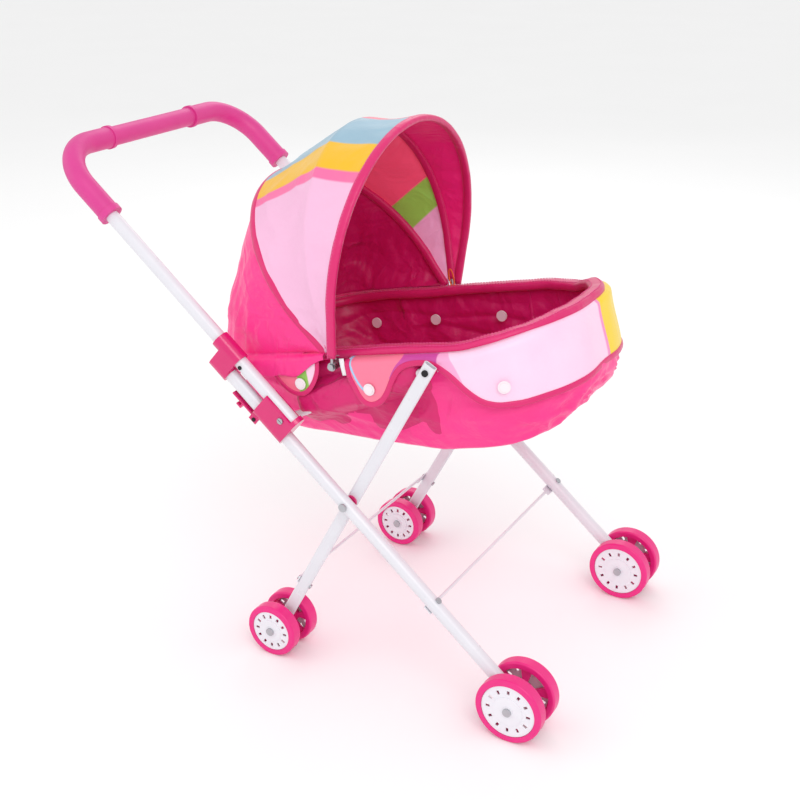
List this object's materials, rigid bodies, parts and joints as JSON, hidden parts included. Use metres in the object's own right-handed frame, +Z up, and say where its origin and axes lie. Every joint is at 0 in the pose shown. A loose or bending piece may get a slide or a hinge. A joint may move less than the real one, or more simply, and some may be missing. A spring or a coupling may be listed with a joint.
{
  "type": "doll pram",
  "caption": "Folding doll pram: crossed tube legs with paired small wheels, telescoping U handle, hanging fabric carrycot with printed side flaps and a folding hood.",
  "frame": {"origin": "on the floor under the middle of the whole pram", "axes": "+X towards the front wheels, +Y to the pram's left, +Z up"},
  "size_m": [0.5312, 0.324, 0.5132],
  "materials": {
    "white_steel": "gloss",
    "plated_steel": "satin",
    "black_rivet": "satin",
    "pink_plastic": "gloss",
    "grip_vinyl": "satin",
    "wheel_pink": "satin",
    "cap_white": "gloss",
    "snap_white": "gloss",
    "magenta_nylon": "satin",
    "printed_nylon": "matte"
  },
  "bodies": {
    "frame": {"front_leg_left": "white_steel", "front_leg_right": "white_steel", "front_brace": "white_steel", "front_brace_rivets": "plated_steel", "guide_left": "pink_plastic", "guide_right": "pink_plastic", "pivot_rivets": "plated_steel", "front_axles": "plated_steel"},
    "rear_frame": {"rear_leg_left": "white_steel", "rear_leg_right": "white_steel", "rear_brace": "white_steel", "rear_brace_rivets": "plated_steel", "leg_spacers": "pink_plastic", "top_rivets": "black_rivet", "rear_axles": "plated_steel"},
    "basket": {"seat_rail_left": "white_steel", "seat_rail_right": "white_steel", "rim_hoop": "plated_steel", "rim_binding": "magenta_nylon", "tub": "magenta_nylon", "base_board": "magenta_nylon", "valance_left": "printed_nylon", "valance_right": "printed_nylon", "valance_front": "printed_nylon", "outer_snaps": "snap_white", "inner_snaps": "snap_white", "hood_rivets": "plated_steel", "rear_bow": "plated_steel", "hood_canopy": "printed_nylon", "hood_back": "magenta_nylon"},
    "middle_bow": {"middle_bow": "plated_steel"},
    "front_bow": {"front_bow": "plated_steel"},
    "handle": {"handle_tube": "white_steel", "grip_left": "grip_vinyl", "grip_right": "grip_vinyl", "grip_centre": "grip_vinyl", "stop_pins": "black_rivet", "bracket_left": "pink_plastic", "bracket_right": "pink_plastic", "bracket_screws": "plated_steel", "latch_pins": "black_rivet"},
    "latch_left": {"latch_lever_left": "pink_plastic"},
    "latch_right": {"latch_lever_right": "pink_plastic"},
    "front_wheel_left_outer": {"front_wheel_left_outer": "wheel_pink", "front_cap_left_outer": "cap_white"},
    "front_wheel_left_inner": {"front_wheel_left_inner": "wheel_pink", "front_cap_left_inner": "cap_white"},
    "front_wheel_right_outer": {"front_wheel_right_outer": "wheel_pink", "front_cap_right_outer": "cap_white"},
    "front_wheel_right_inner": {"front_wheel_right_inner": "wheel_pink", "front_cap_right_inner": "cap_white"},
    "rear_wheel_left_outer": {"rear_wheel_left_outer": "wheel_pink", "rear_cap_left_outer": "cap_white"},
    "rear_wheel_left_inner": {"rear_wheel_left_inner": "wheel_pink", "rear_cap_left_inner": "cap_white"},
    "rear_wheel_right_outer": {"rear_wheel_right_outer": "wheel_pink", "rear_cap_right_outer": "cap_white"},
    "rear_wheel_right_inner": {"rear_wheel_right_inner": "wheel_pink", "rear_cap_right_inner": "cap_white"}
  },
  "joints": [
    {"name": "frame_fold", "type": "hinge", "parent": "frame", "child": "rear_frame", "pos_m": [0.05799, 0, 0.18359], "axis": [0, -1, 0], "range_deg": [0, 60]},
    {"name": "basket_tilt", "type": "hinge", "parent": "rear_frame", "child": "basket", "pos_m": [0.13458, 0, 0.32407], "axis": [0, 1, 0], "range_deg": [0, 126]},
    {"name": "hood_fold", "type": "hinge", "parent": "basket", "child": "front_bow", "pos_m": [0.03557, 0, 0.3088], "axis": [0, -1, 0], "range_deg": [0, 43], "deforming": ["hood_canopy"]},
    {"name": "middle_bow_fold", "type": "hinge", "parent": "basket", "child": "middle_bow", "pos_m": [0.03557, 0, 0.3088], "axis": [0, -1, 0], "range_deg": [0, 27]},
    {"name": "handle_slide", "type": "slide", "parent": "frame", "child": "handle", "axis": [0.757, 0, -0.6534], "range_m": [0, 0.04]},
    {"name": "latch_left", "type": "hinge", "parent": "handle", "child": "latch_left", "pos_m": [-0.03721, 0.138, 0.25084], "axis": [0, -1, 0], "range_deg": [0, 12], "stiffness_Nm_per_rad": 0.02, "springref_deg": -5.73},
    {"name": "latch_right", "type": "hinge", "parent": "handle", "child": "latch_right", "pos_m": [-0.03721, -0.138, 0.25084], "axis": [0, -1, 0], "range_deg": [0, 12], "stiffness_Nm_per_rad": 0.02, "springref_deg": -5.73},
    {"name": "front_wheel_left_outer_spin", "type": "hinge", "parent": "frame", "child": "front_wheel_left_outer", "pos_m": [0.23361, 0.1533, 0.032], "axis": [0, 1, 0], "continuous": true},
    {"name": "front_wheel_left_inner_spin", "type": "hinge", "parent": "frame", "child": "front_wheel_left_inner", "pos_m": [0.23361, 0.1227, 0.032], "axis": [0, 1, 0], "continuous": true},
    {"name": "front_wheel_right_outer_spin", "type": "hinge", "parent": "frame", "child": "front_wheel_right_outer", "pos_m": [0.23361, -0.1533, 0.032], "axis": [0, 1, 0], "continuous": true},
    {"name": "front_wheel_right_inner_spin", "type": "hinge", "parent": "frame", "child": "front_wheel_right_inner", "pos_m": [0.23361, -0.1227, 0.032], "axis": [0, 1, 0], "continuous": true},
    {"name": "rear_wheel_left_outer_spin", "type": "hinge", "parent": "rear_frame", "child": "rear_wheel_left_outer", "pos_m": [-0.02739, 0.14205, 0.027], "axis": [0, 1, 0], "continuous": true},
    {"name": "rear_wheel_left_inner_spin", "type": "hinge", "parent": "rear_frame", "child": "rear_wheel_left_inner", "pos_m": [-0.02739, 0.11145, 0.027], "axis": [0, 1, 0], "continuous": true},
    {"name": "rear_wheel_right_outer_spin", "type": "hinge", "parent": "rear_frame", "child": "rear_wheel_right_outer", "pos_m": [-0.02739, -0.14205, 0.027], "axis": [0, 1, 0], "continuous": true},
    {"name": "rear_wheel_right_inner_spin", "type": "hinge", "parent": "rear_frame", "child": "rear_wheel_right_inner", "pos_m": [-0.02739, -0.11145, 0.027], "axis": [0, 1, 0], "continuous": true}
  ],
  "couplings": [
    {"joint": "basket_tilt", "follows": "frame_fold", "ratio": 2.094},
    {"joint": "middle_bow_fold", "follows": "hood_fold", "ratio": 0.62}
  ]
}
